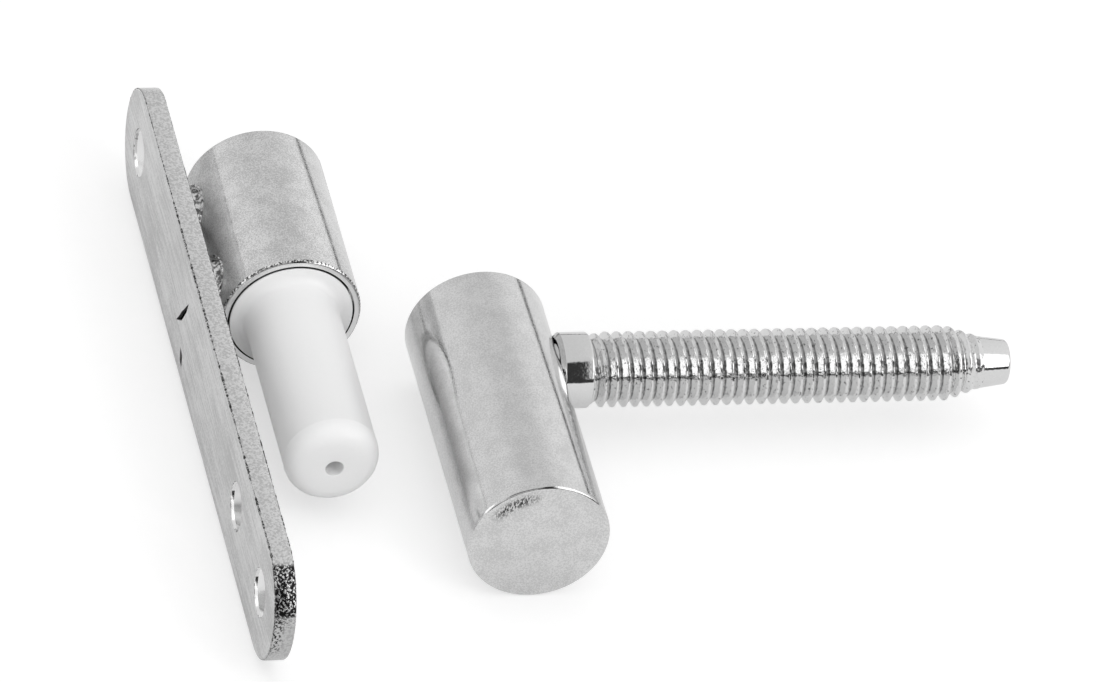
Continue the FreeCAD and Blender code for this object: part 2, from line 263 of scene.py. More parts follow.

# %% [markdown]
# ## Zinc on the barrels
# Both barrels are cold drawn steel rod with a thin coat of zinc. The rod is nearly mirror smooth, but the
# coat has a fine crystal grain and a few cloudy patches, so reflections are clear and a little gritty. One
# look serves both, and takes the wear, heat dulling and painted light that belong to each barrel.

# %% Barrel zinc
ZINC = 0.68
CLOUDS = dict(size=2.2 * MM, detail=4.0)
CLOUD_RANGE = (0.3, 0.7)
CLOUD_SPREAD = 0.2
CRYSTALS = dict(size=0.16 * MM)
CRYSTAL_SHARE = 0.7
CRYSTAL_DEPTH = 0.006 * MM
DRAWN = dict(size=0.2 * MM, stretch=(1, 30, 1))
DRAWN_DEPTH = 0.002 * MM
TONE_RANGE = (0.38, 0.62)


def barrel_zinc(tree, dullness, contrast, worn):
    """Zinc on drawn rod: dullness is its mean roughness, contrast the spread of its crystals' tones."""
    clouds = grain(tree, **CLOUDS)
    crystals = grain(tree, **CRYSTALS)
    mixed = reckon(tree, "MULTIPLY_ADD", crystals, CRYSTAL_SHARE, product(tree, clouds, 1 - CRYSTAL_SHARE))
    zinc = blend(tree, ramp(tree, mixed, *TONE_RANGE), ZINC - contrast, ZINC + contrast)
    dull = ramp(tree, clouds, *CLOUD_RANGE, *around(dullness, CLOUD_SPREAD))
    skin = dented(tree, crystals, CRYSTAL_DEPTH, dented(tree, grain(tree, **DRAWN), DRAWN_DEPTH))
    zinc, dull, skin = worn(tree, zinc, dull, skin)
    return {"Base Color": zinc, "Roughness": dull, "Normal": skin}


FRAME_BARREL_ZINC = finish(
    "zinc_of_frame_barrel", barrel_zinc, dullness=0.1, contrast=0.13, worn=rim_dulling_and_painted_light,
)
DOOR_BARREL_ZINC = finish(
    "zinc_of_door_barrel", barrel_zinc, dullness=0.055, contrast=0.08, worn=scuffed_cap,
)

# %% [markdown]
# ## Regions of the plate
# The plate is punched from strip, with a flat back, a sheared edge and sunk screw holes. Each of them has
# its own look. A region could be its own set of faces with its own material. Masks are used instead, made
# from a point's distance to the plate's outline and holes, because they can fade into each other.

# %% Masks on the plate
plate_low, plate_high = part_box("mounting_plate")
PLATE_ROUND = plate_high.z
PLATE_THICK = plate_high.x - plate_low.x
outer_holes = mounts["outer_screw_holes"]
HOLE_RADIUS = outer_holes["dims"]["hole_r_mm"] * MM
HOLE_SPAN = outer_holes["dims"]["spacing_x_mm"] * MM
HOLE_MIDDLE = outer_holes["pos_m"][1]
MIDDLE_HOLE = mounts["middle_screw_hole"]["pos_m"][1]
hole_places = [HOLE_MIDDLE + HOLE_SPAN / 2, MIDDLE_HOLE, HOLE_MIDDLE - HOLE_SPAN / 2]
SINK_RADIUS = 4.5 * MM
SINK_EDGE = 0.1 * MM
HOLE_WALLS = (0.01 * MM, PLATE_THICK - 0.01 * MM, 0.04 * MM)
NICKED_ALONG = (5 * MM, 30 * MM, 1 * MM)
NICKED_WITHIN = (0.42 * MM, 1.9 * MM, 0.12 * MM)
NICK_OUT = (PLATE_ROUND - 0.3 * MM, PLATE_ROUND - 0.4 * MM)


def from_middle_line(tree, place):
    """How far a point lies from the bar's middle line; all of the outline is equally far."""
    straight = node(tree, "ShaderNodeClamp", {
        "Value": place["Y"], "Min": plate_low.y + PLATE_ROUND, "Max": plate_high.y - PLATE_ROUND,
    })
    return apart(tree, minus(tree, place["Y"], straight.outputs[0]), place["Z"])


def in_holes(tree, place, within):
    """1 on the walls of the screw holes and their sinks."""
    sides = [minus(tree, place["Y"], along) for along in hole_places]
    first, second, third = [apart(tree, side, place["Z"]) for side in sides]
    nearest = reckon(tree, "MINIMUM", reckon(tree, "MINIMUM", first, second), third)
    inside = between(tree, within, *HOLE_WALLS)
    return product(tree, ramp(tree, nearest, SINK_RADIUS + SINK_EDGE, SINK_RADIUS), inside)


def in_nicks(tree, place, within, reach):
    """1 on the walls of the nick and the slit in the plate's back, which are painted almost black as shade.
    """
    deep = between(tree, within, *NICKED_WITHIN)
    beside_welds = between(tree, place["Y"], *NICKED_ALONG)
    return product(tree, deep, beside_welds, ramp(tree, reach, *NICK_OUT))


print("screw holes at", [round(along / MM, 2) for along in hole_places], "mm along the plate")

# %% [markdown]
# The punch has torn the sheared edge all round. At the lower end the edge is darker with painted shade, and
# a stretch of it is pitted through and through and painted almost black, with more pits spreading along the
# back. Angles about the end's centre say where each of these begins and ends.

# %% Sheared edge
BLACK_OF_PITS_AND_NICK_SHADE = 0.02
TEAR_RANGE = (0.38, 0.6)
TORN_GREYS = (0.58, 0.78)
END_SHADE_ANGLES = (1.1, 1.4, 0.0, 0.4)
END_SHADE_GREY = 0.2
PITTED = (0.3, 1.25, 0.1)
PIT_RANGE = (0.6, 0.5)
SPREAD = (1.1, 2.0, 0.2)
SPREAD_WITHIN = (1.3 * MM, 0.6 * MM)
SPREAD_RANGE = (0.5, 0.42)


def sheared_edge(tree, place, within, tears):
    """The grey of the sheared edge, with painted shade towards the lower end."""
    past_centre = minus(tree, plate_low.y + PLATE_ROUND, place["Y"])
    turned_by = reckon(tree, "ARCTAN2", past_centre, place["Z"])
    torn = blend(tree, ramp(tree, tears, *TEAR_RANGE), *TORN_GREYS)
    # Painted shade: the edge darkens where it turns round the lower end.
    torn = blend(tree, ramp(tree, turned_by, *END_SHADE_ANGLES), torn, END_SHADE_GREY)
    pits = product(tree, between(tree, turned_by, *PITTED), ramp(tree, tears, *PIT_RANGE))
    near_back = product(tree, ramp(tree, within, *SPREAD_WITHIN), ramp(tree, tears, *SPREAD_RANGE))
    spread = product(tree, between(tree, turned_by, *SPREAD), near_back)
    return blend(tree, reckon(tree, "MAXIMUM", pits, spread), torn, BLACK_OF_PITS_AND_NICK_SHADE)


print("pits from", [round(math.degrees(angle)) for angle in PITTED[:2]], "degrees round the lower end")

# %% [markdown]
# ## Zinc on the plate
# Rolling leaves faint streaks along the strip, and the coat is duller than on the barrels. The side towards
# the barrel is painted lighter, as painted light on a face in shade. The screw sinks are the only polished
# part, and their paler grey is a painted highlight.

# %% Plate zinc
PLATE_CRYSTALS = dict(size=0.2 * MM)
ROLLED = dict(size=0.3 * MM, stretch=(1, 25, 1), detail=4.0)
BLOTCHES = dict(size=4.0 * MM, stretch=(1, 2, 1), detail=4.0)
TEARS = dict(size=0.25 * MM, shift=(3, 1, 2), detail=4.0)
FINE_SHARE = 0.35
BLOTCH_SHARE = 0.3
PLATE_RANGE = (0.4, 0.6)
PLATE_GREYS = (0.52, 0.75)
PLATE_DEPTH = 0.01 * MM
TEAR_DEPTH = 0.065 * MM
EDGE_OUT = (PLATE_ROUND - 0.3 * MM, PLATE_ROUND - 0.15 * MM)
FRONT_FACE_LIGHT_RANGE = (PLATE_THICK - 0.05 * MM, PLATE_THICK - 0.01 * MM, 0.0, 0.6)
FRONT_FACE_LIGHT_GREY = 0.95
SINK_HIGHLIGHT_GREY = 0.85
POLISHED_DULL = 0.08
PLATE_DULL = 0.36
EDGE_DULL = 0.14


def plate_zinc(tree):
    """Zinc on the plate, from its grains and its regions, with painted light, a painted highlight and
    painted shade.
    """
    place = xyz(tree, object_place(tree))
    within = minus(tree, place["X"], plate_low.x)
    reach = from_middle_line(tree, place)
    sheared = ramp(tree, reach, *EDGE_OUT)
    polished_and_highlit = in_holes(tree, place, within)
    tears = grain(tree, **TEARS)
    crystals = product(tree, grain(tree, **PLATE_CRYSTALS), FINE_SHARE)
    mixed = reckon(tree, "MULTIPLY_ADD", grain(tree, **ROLLED), FINE_SHARE, crystals)
    mixed = reckon(tree, "MULTIPLY_ADD", grain(tree, **BLOTCHES), BLOTCH_SHARE, mixed)
    plain = blend(tree, ramp(tree, mixed, *PLATE_RANGE), *PLATE_GREYS)
    # Painted light: the side towards the barrel lies in shade and is painted lighter than the back.
    plain = blend(tree, ramp(tree, within, *FRONT_FACE_LIGHT_RANGE), plain, FRONT_FACE_LIGHT_GREY)
    zinc = blend(tree, sheared, plain, sheared_edge(tree, place, within, tears))
    # Painted highlight: the screw sinks are painted paler; their polish is the lower roughness below.
    zinc = blend(tree, polished_and_highlit, zinc, SINK_HIGHLIGHT_GREY)
    dull = ramp(tree, sheared, 0.0, 1.0, PLATE_DULL, EDGE_DULL)
    fine = dented(tree, product(tree, mixed, minus(tree, 1.0, polished_and_highlit)), PLATE_DEPTH)
    return {
        # Painted shade: the walls of the nick and the slit are painted almost black.
        "Base Color": blend(tree, in_nicks(tree, place, within, reach), zinc, BLACK_OF_PITS_AND_NICK_SHADE),
        "Roughness": ramp(tree, polished_and_highlit, 0.0, 1.0, dull, POLISHED_DULL),
        "Normal": dented(tree, product(tree, tears, sheared), TEAR_DEPTH, fine),
    }


PLATE_ZINC = finish("zinc_of_plate", plate_zinc)

# %% [markdown]
# ## Zinc on the stud
# The stud's thread is rolled, not cut, and it is the brightest piece. Its crests are polished, and its
# roots are painted darker as painted shade. Roots could be found by their distance from the axis, but the
# thread also tapers. So the tree that makes the thread stores each point's height as an attribute named
# ridge, and this look reads it.

# %% Stud zinc
STUD_FLECKS = dict(size=0.28 * MM)
STUD_CRYSTALS = dict(size=0.12 * MM, detail=2.0)
STUD_GREYS = (0.68, 0.82)
STUD_RANGE = (0.35, 0.7)
STUD_SPREAD = 0.3
ROOT_SHADE_RANGE = (0.0, 0.14)
ROOT_SHADE_GREY = 0.3
FLECK_RANGE = (0.36, 0.3)
FLECK_GREY = 0.1


def stud_zinc(tree, dullness, lump, grooved):
    """Bright zinc on the stud: dullness is its mean roughness, lump the height of its flecks."""
    flecks = grain(tree, **STUD_FLECKS)
    zinc = blend(tree, grain(tree, **STUD_CRYSTALS), *STUD_GREYS)
    if grooved:
        ridge = node(tree, "ShaderNodeAttribute", attribute_name="ridge").outputs["Fac"]
        # Painted shade: the thread's roots are painted darker.
        zinc = blend(tree, ramp(tree, ridge, *ROOT_SHADE_RANGE), ROOT_SHADE_GREY, zinc)
        zinc = blend(tree, ramp(tree, flecks, *FLECK_RANGE), zinc, FLECK_GREY)
    dull = ramp(tree, flecks, *STUD_RANGE, *around(dullness, STUD_SPREAD))
    return {"Base Color": zinc, "Roughness": dull, "Normal": dented(tree, flecks, lump)}


THREAD_ZINC = finish("zinc_of_thread", stud_zinc, dullness=0.09, lump=0.022 * MM, grooved=True)
PLAIN_STUD_ZINC = finish("zinc_of_plain_stud", stud_zinc, dullness=0.08, lump=0.007 * MM, grooved=False)

# %% [markdown]
# ## Burr, welds and pin
# The other metals need less. A burr is torn steel, painted darker as painted shade along the plate's edge.
# Weld metal is lumpy and scaly, and the steel pin in the sleeve is ground and never shows. One grain each
# sets the tone.

# %% Burr, weld and pin
DULL_RANGE = (0.3, 0.7)
BURR_FLECKS = dict(size=0.25 * MM)
BURR_RANGE = (0.45, 0.65)
BURR_STEEL_AND_SHADE_GREYS = (0.04, 0.5)
BURR_DULLS = (0.3, 0.5)
SCALE = dict(size=0.5 * MM, detail=4.0)
SCALE_DEPTH = 0.02 * MM
WELD_CRYSTALS = dict(size=0.15 * MM, detail=2.0)
WELD_RANGE = (0.4, 0.58)
WELD_GREYS = (0.12, 0.78)
WELD_DULLS = (0.15, 0.3)
GROUND = dict(size=0.1 * MM, stretch=(30, 1, 30))
PIN_GREYS = (0.5, 0.6)
PIN_DULLS = (0.2, 0.3)


def burr_metal(tree):
    flecks = grain(tree, **BURR_FLECKS)
    return {
        # Torn steel with painted shade: the burr is painted darker for the dark line along the plate's
        # edge.
        "Base Color": blend(tree, ramp(tree, flecks, *BURR_RANGE), *BURR_STEEL_AND_SHADE_GREYS),
        "Roughness": ramp(tree, flecks, *DULL_RANGE, *BURR_DULLS),
    }


def weld_metal(tree):
    scale = grain(tree, **SCALE)
    return {
        "Base Color": blend(tree, ramp(tree, scale, *WELD_RANGE), *WELD_GREYS),
        "Roughness": ramp(tree, grain(tree, **WELD_CRYSTALS), *DULL_RANGE, *WELD_DULLS),
        "Normal": dented(tree, scale, SCALE_DEPTH),
    }


def pin_steel(tree):
    ground = grain(tree, **GROUND)
    return {
        "Base Color": blend(tree, ground, *PIN_GREYS),
        "Roughness": ramp(tree, ground, *DULL_RANGE, *PIN_DULLS),
    }


BURR_METAL = finish("metal_of_burr", burr_metal)
WELD_METAL = finish("metal_of_welds", weld_metal)
PIN_STEEL = finish("steel_of_pin", pin_steel)
pin_mesh = frame["nodes"]["hinge_pin"].data
pin_mesh.materials.clear()
pin_mesh.materials.append(PIN_STEEL)

# %% [markdown]
# ## Sleeve plastic
# The sleeve is moulded from a white bearing plastic. Light goes a little way into it, which softens its
# shading, so it gets a small subsurface share. Past the rim, in the recess, painted shade makes it almost
# black.

# %% Sleeve plastic
GAP_SHADE_EDGE = 0.03 * MM
GAP_SHADE_GREY = 0.03
MOULDED = dict(size=0.4 * MM, detail=2.0)
MOULDED_DEPTH = 0.0015 * MM
SLEEVE_GREYS = (0.92, 0.94)
SLEEVE_DULLS = (0.28, 0.32)


def sleeve_plastic(tree):
    place = xyz(tree, object_place(tree))
    past_rim = minus(tree, place["Y"], barrel_low.y)
    # Painted shade: below the rim's plane the sleeve goes almost black, as the gap round the collar.
    gap_shade = ramp(tree, past_rim, -GAP_SHADE_EDGE, GAP_SHADE_EDGE)
    skin = grain(tree, **MOULDED)
    return {
        "Metallic": 0.0,
        "Base Color": blend(tree, gap_shade, blend(tree, skin, *SLEEVE_GREYS), GAP_SHADE_GREY),
        "Roughness": ramp(tree, skin, *DULL_RANGE, *SLEEVE_DULLS),
        "Normal": dented(tree, skin, MOULDED_DEPTH),
        "Subsurface Weight": 0.1,
        "Subsurface Radius": (1.0, 1.0, 1.0),
        "Subsurface Scale": 0.3 * MM,
        "Specular IOR Level": 0.45,
    }


SLEEVE_PLASTIC = finish("plastic_of_sleeve", sleeve_plastic)

# %% [markdown]
# ## Turning pieces on a lathe
# Barrels, sleeve and stud are all turned or moulded round. The solids' faces are flat triangles, which show
# as facets in a close view. So each piece is drawn again as an outline with rounded corners, and Blender's
# spin turns the outline about the axis. A rounded corner catches a line of light, as real edges do.

# %% Lathe helpers
ARC_STEPS = 6
TURN_STEPS = 192
SHARP_ANGLE = math.radians(32)
MERGE_REACH = 1e-4 * MM


def rounded(corners):
    """The points of an outline whose corners (along, out, radius) are rounded by arcs."""
    points = []
    for index, (along, out, radius) in enumerate(corners):
        here = Vector((along, out))
        if radius == 0:
            points.append(here)
            continue
        back = (Vector(corners[index - 1][:2]) - here).normalized()
        ahead = (Vector(corners[(index + 1) % len(corners)][:2]) - here).normalized()
        half = back.angle(ahead) / 2
        centre = here + (back + ahead).normalized() * (radius / math.sin(half))
        start = here + back * (radius / math.tan(half)) - centre
        end = here + ahead * (radius / math.tan(half)) - centre
        points += [centre + start.slerp(end, step / ARC_STEPS) * radius for step in range(ARC_STEPS + 1)]
    return points


def smooth(mesh):
    """Shade a mesh smooth, except across its real corners."""
    mesh.shade_smooth()
    mesh.set_sharp_from_angle(angle=SHARP_ANGLE)
    return mesh


def closed_mesh(shape):
    """A mesh from a bmesh, with its doubles merged and its faces pointing outwards."""
    bmesh.ops.remove_doubles(shape, verts=shape.verts, dist=MERGE_REACH)
    bmesh.ops.recalc_face_normals(shape, faces=shape.faces)
    mesh = bpy.data.meshes.new("shape")
    shape.to_mesh(mesh)
    shape.free()
    return smooth(mesh)


def turned(corners, along, place, ring=False):
    """Turn an outline of corners about an axis through a place; a ring's outline closes on itself."""
    shape = bmesh.new()
    out = Vector((0, 0, 1))
    verts = [shape.verts.new(place + along * spot.x + out * spot.y) for spot in rounded(corners)]
    pairs = zip(verts, verts[1:] + (verts[:1] if ring else []))
    edges = [shape.edges.new(pair) for pair in pairs]
    bmesh.ops.spin(
        shape, geom=verts + edges, cent=place, axis=along, angle=math.tau, steps=TURN_STEPS, use_merge=True,
    )
    return closed_mesh(shape)


print("lathe turns in", TURN_STEPS, "steps")

# %% [markdown]
# A finished mesh still has to be shown: it rides on its body, gets its material, and takes the place of the
# plain solid. Some meshes are cut first, by a Boolean with other meshes as cutters.

# %% Showing and cutting


def placed(name, data):
    made = bpy.data.objects.new(name, data)
    scene.collection.objects.link(made)
    return made


def shown(name, mesh, material, body, slot, *nodes):
    """Put a finished mesh on its body, with its material, in place of the nodes that it stands for; slot is
    not used.
    """
    mesh.name = name
    mesh.materials.clear()
    mesh.materials.append(material)
    piece = placed(name, mesh)
    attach(piece, body)
    if nodes:
        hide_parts(*nodes)
    print(piece.name, "has", len(mesh.polygons), "faces")


def plain_mesh(made):
    """What an object's modifiers make of it, as a plain mesh."""
    return bpy.data.meshes.new_from_object(made.evaluated_get(bpy.context.evaluated_depsgraph_get()))


def without(mesh, *cutters):
    """The mesh with other closed meshes cut out of it."""
    blank = placed("blank", mesh)
    tools = [placed("cutter", cutter) for cutter in cutters]
    for tool in tools:
        cut = blank.modifiers.new("cut", "BOOLEAN")
        cut.operation = "DIFFERENCE"
        cut.solver = "EXACT"
        cut.object = tool
    result = plain_mesh(blank)
    for gone in (blank, *tools):
        bpy.data.objects.remove(gone)
    return smooth(result)


print("ready to show and cut")

# %% [markdown]
# ## Frame barrel
# A rod, closed at the far end, with a shallow recess in its rim for the sleeve's collar and a seat for the
# pin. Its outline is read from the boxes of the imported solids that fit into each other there.

# %% Frame barrel
pin_low, pin_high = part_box("hinge_pin")
sleeve_low, sleeve_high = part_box("bearing_sleeve")
TOWARDS_TIP = Vector((0, -1, 0))
ROW_ORIGIN = Vector((0, 0, 0))
BARREL_RADIUS = barrel_high.x
PIN_RADIUS = pin_high.x
COLLAR_RADIUS = sleeve_high.x
RECESS_RADIUS = COLLAR_RADIUS + 0.1 * MM
RIM_ROUND = 0.35 * MM
RECESS_ROUND = 0.08 * MM

frame_barrel = turned([
    (-barrel_high.y, 0, 0),
    (-barrel_high.y, BARREL_RADIUS, RIM_ROUND),
    (-barrel_low.y, BARREL_RADIUS, RIM_ROUND),
    (-barrel_low.y, RECESS_RADIUS, RECESS_ROUND),
    (-sleeve_high.y, RECESS_RADIUS, 0),
    (-sleeve_high.y, PIN_RADIUS, 0),
    (-pin_high.y, PIN_RADIUS, 0),
    (-pin_high.y, 0, 0),
], TOWARDS_TIP, ROW_ORIGIN)
shown("barrel_of_frame_half", frame_barrel, FRAME_BARREL_ZINC, "frame_half", "barrel_zinc", "frame_barrel")

# %% [markdown]
# ## Sleeve
# The sleeve is moulded in one piece: a collar that carries the door half, a hollow curve at its foot, the
# bearing surface, a rounded tip and a small vent. A fine line near the tip is left by the mould. A moulded
# part has no sharp corner, so every corner that shows gets a radius.

# %% Sleeve
SLEEVE_RADIUS = mounts["bearing_pin"]["dims"]["r_mm"] * MM
COLLAR_FACE = 0.2 * MM - barrel_low.y
SHOWN_COLLAR = COLLAR_RADIUS - 0.08 * MM
COLLAR_ROUND = 0.15 * MM
FOOT_ROUND = 1.0 * MM
SLEEVE_TIP = -sleeve_low.y
TIP_ROUND = 1.9 * MM
VENT_RADIUS = 0.95 * MM
VENT_ROUND = 0.12 * MM
SEAM_HALF = 0.12 * MM
SEAM_HEIGHT = 0.03 * MM
SEAM = SLEEVE_TIP - TIP_ROUND - 2 * SEAM_HALF

sleeve = turned([
    (-sleeve_high.y, PIN_RADIUS, 0),
    (-sleeve_high.y, SHOWN_COLLAR, 0),
    (COLLAR_FACE, SHOWN_COLLAR, COLLAR_ROUND),
    (COLLAR_FACE, SLEEVE_RADIUS, FOOT_ROUND),
    (SEAM - SEAM_HALF, SLEEVE_RADIUS, 0),
    (SEAM, SLEEVE_RADIUS + SEAM_HEIGHT, SEAM_HEIGHT),
    (SEAM + SEAM_HALF, SLEEVE_RADIUS, 0),
    (SLEEVE_TIP, SLEEVE_RADIUS, TIP_ROUND),
    (SLEEVE_TIP, VENT_RADIUS, VENT_ROUND),
    (-pin_low.y, VENT_RADIUS, 0),
    (-pin_low.y, PIN_RADIUS, 0),
], TOWARDS_TIP, ROW_ORIGIN, ring=True)
shown("sleeve_on_pin", sleeve, SLEEVE_PLASTIC, "frame_half", "sleeve_plastic", "bearing_sleeve")

# %% [markdown]
# ## Door barrel
# The same rod with a drilled socket. A flat is milled into its side, and a hole behind the flat takes the
# stud's tenon. Both are cut from the turned barrel by a Boolean with one turned cutter.

# %% Door barrel
stud_low, stud_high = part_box("threaded_stud")
STUD_AXIS_Y = (stud_low.y + stud_high.y) / 2
socket = mounts["pin_socket"]
SOCKET_RADIUS = socket["dims"]["r_mm"] * MM
SOCKET_MIDDLE = socket["pos_m"][1]
SOCKET_HALF = socket["dims"]["length_mm"] * MM / 2
SOCKET_MOUTH = door_high.y - (SOCKET_MIDDLE + SOCKET_HALF)
SOCKET_END = SOCKET_HALF - SOCKET_MIDDLE
DRILL_POINT = 3.0 * MM
CAP_ROUND = 0.42 * MM
MOUTH_ROUND = 0.1 * MM
SEAT_X = BARREL_RADIUS - 0.5 * MM
SEAT_RADIUS = 4.05 * MM
TENON_RADIUS = 3.0 * MM
CUT_END = BARREL_RADIUS + 2.0 * MM
ALONG_STUD = Vector((1, 0, 0))
door_place = Vector((DOOR_AXIS_X, 0, 0))
stud_place = Vector((DOOR_AXIS_X, STUD_AXIS_Y, 0))

door_rod = turned([
    (-door_low.y, 0, 0),
    (-door_low.y, BARREL_RADIUS, CAP_ROUND),
    (-door_high.y, BARREL_RADIUS, RIM_ROUND),
    (-door_high.y, SOCKET_RADIUS + SOCKET_MOUTH, MOUTH_ROUND),
    (SOCKET_MOUTH - door_high.y, SOCKET_RADIUS, MOUTH_ROUND),
    (SOCKET_END, SOCKET_RADIUS, 0),
    (SOCKET_END + DRILL_POINT, 0, 0),
], TOWARDS_TIP, door_place)
seat_cutter = turned([
    (0, 0, 0),
    (0, TENON_RADIUS, 0),
    (SEAT_X, TENON_RADIUS, 0),
    (SEAT_X, SEAT_RADIUS, 0),
    (CUT_END, SEAT_RADIUS, 0),
    (CUT_END, 0, 0),
], ALONG_STUD, stud_place)
door_barrel = without(door_rod, seat_cutter)
shown("barrel_of_door_half", door_barrel, DOOR_BARREL_ZINC, "door_half", "barrel_zinc", "door_barrel")

# %% [markdown]
# ## Trees that grow meshes
# A thread, a burr and a row of welds each follow a rule, so Geometry Nodes trees make them. A tree takes
# named sizes, and its rule turns them into a mesh. The result becomes a plain mesh at once, because a
# finished piece should carry no live modifier.

# %% Tree helpers
KINDS = {float: "NodeSocketFloat", int: "NodeSocketInt", tuple: "NodeSocketVector"}


def new_tree(name, rule, material, sizes):
    """A Geometry Nodes tree with an input for each named size; it ends in real meshes of one material."""
    tree = bpy.data.node_groups.new(name, "GeometryNodeTree")
    for size, value in sizes.items():
        tree.interface.new_socket(size, in_out="INPUT", socket_type=KINDS[type(value)])
    tree.interface.new_socket("Geometry", in_out="OUTPUT", socket_type="NodeSocketGeometry")
    geometry = rule(tree, tree.nodes.new("NodeGroupInput").outputs)
    real = node(tree, "GeometryNodeRealizeInstances", {"Geometry": geometry}).outputs[0]
    painted = node(tree, "GeometryNodeSetMaterial", {"Geometry": real, "Material": material})
    fill(tree, tree.nodes.new("NodeGroupOutput"), {"Geometry": painted.outputs[0]})
    return tree


def grown(name, rule, material, sizes):
    """The plain mesh that a tree makes from named sizes by a rule."""
    tree = new_tree(name, rule, material, sizes)
    carrier = placed(name, bpy.data.meshes.new(name))
    growth = carrier.modifiers.new(name, "NODES")
    growth.node_group = tree
    for item in tree.interface.items_tree:
        if item.name in sizes:
            growth[item.identifier] = sizes[item.name]
    mesh = plain_mesh(carrier)
    carrier.modifiers.remove(growth)
    bpy.data.objects.remove(carrier)
    shape = bmesh.new()
    shape.from_mesh(mesh)
    return closed_mesh(shape)


print("tree helpers ready")

# %% [markdown]
# Inside a tree a few steps come back, such as a noise, points that are moved, or a bead along a curve.

# %% Steps inside a tree
NOISE_MIDDLE = 0.5


def position(tree):
    return node(tree, "GeometryNodeInputPosition").outputs[0]


def point(tree, x, y, z):
    return node(tree, "ShaderNodeCombineXYZ", {"X": x, "Y": y, "Z": z}).outputs[0]


def vectors(tree, operation, first, second):
    """The result of one Vector Math node."""
    return node(tree, "ShaderNodeVectorMath", {0: first, 1: second}, operation=operation).outputs[0]


def moved(tree, geometry, **where):
    """The geometry with its points at a new Position, or shifted by an Offset."""
    return node(tree, "GeometryNodeSetPosition", {"Geometry": geometry, **where}).outputs[0]


def patches(tree, where, size, detail=3.0):
    """Noise from 0 to 1 with patches of a given size."""
    noise = {"Vector": where, "Scale": reckon(tree, "DIVIDE", 1.0, size), "Detail": detail}
    return node(tree, "ShaderNodeTexNoise", noise).outputs["Fac"]


def swayed(tree, noise, most):
    """A noise moved about zero, whose full range is a size."""
    return product(tree, minus(tree, noise, NOISE_MIDDLE), most)


def bead_along(tree, path, steps, thickness):
    """A round bead along a curve, whose thickness may change on the way."""
    wire = node(tree, "GeometryNodeCurvePrimitiveCircle", {"Resolution": steps})
    return node(tree, "GeometryNodeCurveToMesh", {
        "Curve": path, "Profile Curve": wire.outputs[0], "Scale": thickness,
    }).outputs[0]


print("steps ready")

# %% [markdown]
# ## Thread by a rule
# A thread is one rule: in every pitch the radius has a narrow root, a straight flank up, a crest and a
# straight flank down, and the whole wave is shifted by the angle round the axis. The tree bends a flat grid
# round the axis and sets each point's distance by that rule. Its first and last rings are drawn in to the
# axis, which closes the ends. Crests rise after the shoulder and fade towards the tip, as rolling dies
# leave them, and a little noise makes them uneven.

# %% Thread rule
GRID_HALF = 0.5
END_RINGS = 0.4999
FIRST_CREST = 0.3
RUB_LENGTH = 0.45 * MM
RUBS_ROUND = 8.0


def thread_rule(tree, size):
    grid = node(tree, "GeometryNodeMeshGrid", {
        "Vertices X": size["Rings"], "Vertices Y": size["Steps"],
    })
    flat = xyz(tree, position(tree))
    share, turn = [reckon(tree, "ADD", flat[side], GRID_HALF) for side in "XY"]
    length = minus(tree, size["End"], size["Start"])
    along = reckon(tree, "MULTIPLY_ADD", share, length, size["Start"])
    pitches = reckon(tree, "DIVIDE", along, size["Pitch"])
    phase = reckon(tree, "FRACT", minus(tree, pitches, turn))
    from_notch = reckon(tree, "ABSOLUTE", reckon(tree, "MULTIPLY_ADD", phase, 2.0, -1.0))
    flank_end = minus(tree, 1.0, size["Crest share"])
    wave = ramp(tree, from_notch, size["Root share"], flank_end, kind="LINEAR")
    past_start = minus(tree, along, size["Start"])
    rise = ramp(tree, past_start, 0.0, size["Run in"], FIRST_CREST, 1.0)
    root = minus(tree, size["Crest"], size["Depth"])
    taper = (size["Taper start"], size["End"])
    crest = ramp(tree, along, *taper, size["Crest"], size["Taper radius"], "LINEAR")
    valley = ramp(tree, along, *taper, root, size["Taper radius"], "LINEAR")
    swing = product(tree, minus(tree, crest, valley), product(tree, wave, rise))
    angle = product(tree, turn, math.tau)
    sides = [reckon(tree, part, angle) for part in ("COSINE", "SINE")]
    rubs = vectors(tree, "MULTIPLY", point(tree, along, *sides), (1 / RUB_LENGTH, RUBS_ROUND, RUBS_ROUND))
    uneven = swayed(tree, patches(tree, rubs, 1.0, detail=2.0), size["Unevenness"])
    outer = reckon(tree, "ADD", reckon(tree, "ADD", valley, swing), uneven)
    reach = product(tree, outer, reckon(tree, "COMPARE", flat["X"], 0.0, END_RINGS))
    round_axis = point(tree, along, *[product(tree, reach, side) for side in sides])
    marked = node(tree, "GeometryNodeStoreNamedAttribute", {
        "Geometry": grid.outputs[0], "Name": "ridge", "Value": wave,
    }, data_type="FLOAT", domain="POINT")
    return moved(tree, marked.outputs[0], Position=vectors(tree, "ADD", round_axis, size["Axis"]))


print("thread rule ready")

# %% [markdown]
# ## Stud
# The stud has a plain shoulder against the barrel, the thread, and a smooth tapered tip that finds the
# pilot hole. Shoulder and tip are turned. The thread runs a little way into both, so no gap opens.

